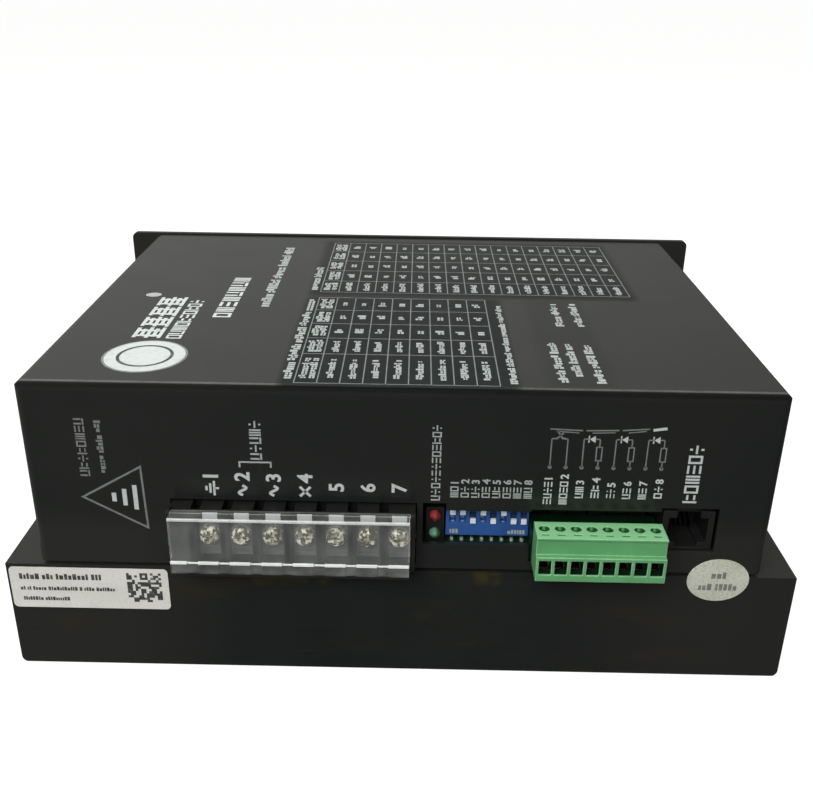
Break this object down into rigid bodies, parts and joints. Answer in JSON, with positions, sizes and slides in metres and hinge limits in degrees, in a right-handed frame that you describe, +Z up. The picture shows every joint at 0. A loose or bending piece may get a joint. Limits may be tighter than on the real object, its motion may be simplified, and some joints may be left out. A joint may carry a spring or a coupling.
{
  "type": "stepper driver module",
  "caption": "Mains stepper drive in a folded black cover on a finned heat sink, with barrier terminals, setting switches, pull-off signal plug and modular jack.",
  "frame": {"origin": "middle of the footprint, connectors included, on the surface the fin tips stand on", "axes": "+X along the heat sink, +Y from the connector face to the rear mounting flange, +Z up from the fin tips to the cover"},
  "size_m": [0.2, 0.15, 0.0815],
  "materials": {
    "sink_black": "black anodised, satin",
    "cover_black": "matt black powder coat on folded steel",
    "screw_steel": "zinc plated",
    "terminal_nickel": "nickel plated",
    "tinned_leads": "tinned",
    "standoff_brass": "turned brass",
    "board_green": "solder mask over glass laminate",
    "black_plastic": "moulded black",
    "plug_green": "moulded green",
    "switch_blue": "moulded blue",
    "slider_white": "moulded white",
    "clear_plastic": "clear polycarbonate",
    "led_red": "tinted epoxy",
    "led_green": "tinted epoxy",
    "label_white": "printed film",
    "winding_copper": "enamelled copper",
    "ferrite": "sintered ferrite",
    "capacitor_sleeve": "shrink sleeve",
    "film_yellow": "moulded box",
    "ceramic_white": "ceramic",
    "relay_blue": "moulded case",
    "thermal_pad": "filled silicone",
    "insulating_film": "polyester film",
    "package_black": "moulded epoxy",
    "contact_gold": "gold plated"
  },
  "bodies": {
    "drive_body": {"heat_sink": "sink_black", "cover": "cover_black", "cover_screws": "screw_steel", "clinch_nuts": "screw_steel", "power_board": "board_green", "control_board": "board_green", "standoffs": "standoff_brass", "board_screws": "screw_steel", "board_link": "black_plastic", "insulating_sheet": "insulating_film", "power_module": "package_black", "bridge_rectifier": "package_black", "module_screws": "screw_steel", "thermal_pads": "thermal_pad", "bus_capacitors": "capacitor_sleeve", "choke_core": "ferrite", "choke_windings": "winding_copper", "film_capacitors": "film_yellow", "varistor": "relay_blue", "fuse": "ceramic_white", "inrush_relay": "relay_blue", "flyback_transformer": "ferrite", "brake_resistor": "ceramic_white", "current_shunts": "package_black", "optocouplers": "ceramic_white", "control_chip": "package_black", "barrier_block": "black_plastic", "barrier_contacts": "terminal_nickel", "dip_body": "switch_blue", "component_leads": "tinned_leads", "led_holder": "black_plastic", "led_red": "led_red", "led_green": "led_green", "signal_header": "plug_green", "header_pins": "tinned_leads", "jack_housing": "black_plastic", "jack_contacts": "contact_gold", "rating_label": "label_white", "inspection_sticker": "label_white"},
    "barrier_cover": {"barrier_cover": "clear_plastic"},
    "terminal_screw_1": {"terminal_screw_1": "terminal_nickel"},
    "terminal_screw_2": {"terminal_screw_2": "terminal_nickel"},
    "terminal_screw_3": {"terminal_screw_3": "terminal_nickel"},
    "terminal_screw_4": {"terminal_screw_4": "terminal_nickel"},
    "terminal_screw_5": {"terminal_screw_5": "terminal_nickel"},
    "terminal_screw_6": {"terminal_screw_6": "terminal_nickel"},
    "terminal_screw_7": {"terminal_screw_7": "terminal_nickel"},
    "dip_slider_1": {"dip_slider_1": "slider_white"},
    "dip_slider_2": {"dip_slider_2": "slider_white"},
    "dip_slider_3": {"dip_slider_3": "slider_white"},
    "dip_slider_4": {"dip_slider_4": "slider_white"},
    "dip_slider_5": {"dip_slider_5": "slider_white"},
    "dip_slider_6": {"dip_slider_6": "slider_white"},
    "dip_slider_7": {"dip_slider_7": "slider_white"},
    "dip_slider_8": {"dip_slider_8": "slider_white"},
    "signal_plug": {"plug_housing": "plug_green", "plug_screws": "screw_steel", "plug_clamps": "terminal_nickel"}
  },
  "joints": [
    {"name": "barrier_cover_hinge", "type": "hinge", "parent": "drive_body", "child": "barrier_cover", "pos_m": [-0.0263, -0.0697, 0.05025], "axis": [-1, 0, 0], "range_deg": [0, 165]},
    {"name": "terminal_screw_1_turn", "type": "hinge", "parent": "drive_body", "child": "terminal_screw_1", "pos_m": [-0.04585, -0.07, 0.0446], "axis": [0, -1, 0], "continuous": true},
    {"name": "terminal_screw_2_turn", "type": "hinge", "parent": "drive_body", "child": "terminal_screw_2", "pos_m": [-0.03823, -0.07, 0.0446], "axis": [0, -1, 0], "continuous": true},
    {"name": "terminal_screw_3_turn", "type": "hinge", "parent": "drive_body", "child": "terminal_screw_3", "pos_m": [-0.03061, -0.07, 0.0446], "axis": [0, -1, 0], "continuous": true},
    {"name": "terminal_screw_4_turn", "type": "hinge", "parent": "drive_body", "child": "terminal_screw_4", "pos_m": [-0.02299, -0.07, 0.0446], "axis": [0, -1, 0], "continuous": true},
    {"name": "terminal_screw_5_turn", "type": "hinge", "parent": "drive_body", "child": "terminal_screw_5", "pos_m": [-0.01537, -0.07, 0.0446], "axis": [0, -1, 0], "continuous": true},
    {"name": "terminal_screw_6_turn", "type": "hinge", "parent": "drive_body", "child": "terminal_screw_6", "pos_m": [-0.00775, -0.07, 0.0446], "axis": [0, -1, 0], "continuous": true},
    {"name": "terminal_screw_7_turn", "type": "hinge", "parent": "drive_body", "child": "terminal_screw_7", "pos_m": [-0.00013, -0.07, 0.0446], "axis": [0, -1, 0], "continuous": true},
    {"name": "dip_slider_1_slide", "type": "slide", "parent": "drive_body", "child": "dip_slider_1", "axis": [0, 0, 1], "range_m": [-0.0024, 0]},
    {"name": "dip_slider_2_slide", "type": "slide", "parent": "drive_body", "child": "dip_slider_2", "axis": [0, 0, 1], "range_m": [-0.0024, 0]},
    {"name": "dip_slider_3_slide", "type": "slide", "parent": "drive_body", "child": "dip_slider_3", "axis": [0, 0, 1], "range_m": [0, 0.0024]},
    {"name": "dip_slider_4_slide", "type": "slide", "parent": "drive_body", "child": "dip_slider_4", "axis": [0, 0, 1], "range_m": [-0.0024, 0]},
    {"name": "dip_slider_5_slide", "type": "slide", "parent": "drive_body", "child": "dip_slider_5", "axis": [0, 0, 1], "range_m": [0, 0.0024]},
    {"name": "dip_slider_6_slide", "type": "slide", "parent": "drive_body", "child": "dip_slider_6", "axis": [0, 0, 1], "range_m": [-0.0024, 0]},
    {"name": "dip_slider_7_slide", "type": "slide", "parent": "drive_body", "child": "dip_slider_7", "axis": [0, 0, 1], "range_m": [0, 0.0024]},
    {"name": "dip_slider_8_slide", "type": "slide", "parent": "drive_body", "child": "dip_slider_8", "axis": [0, 0, 1], "range_m": [0, 0.0024]},
    {"name": "signal_plug_pull", "type": "slide", "parent": "drive_body", "child": "signal_plug", "axis": [0, -1, 0], "range_m": [0, 0.02]}
  ]
}
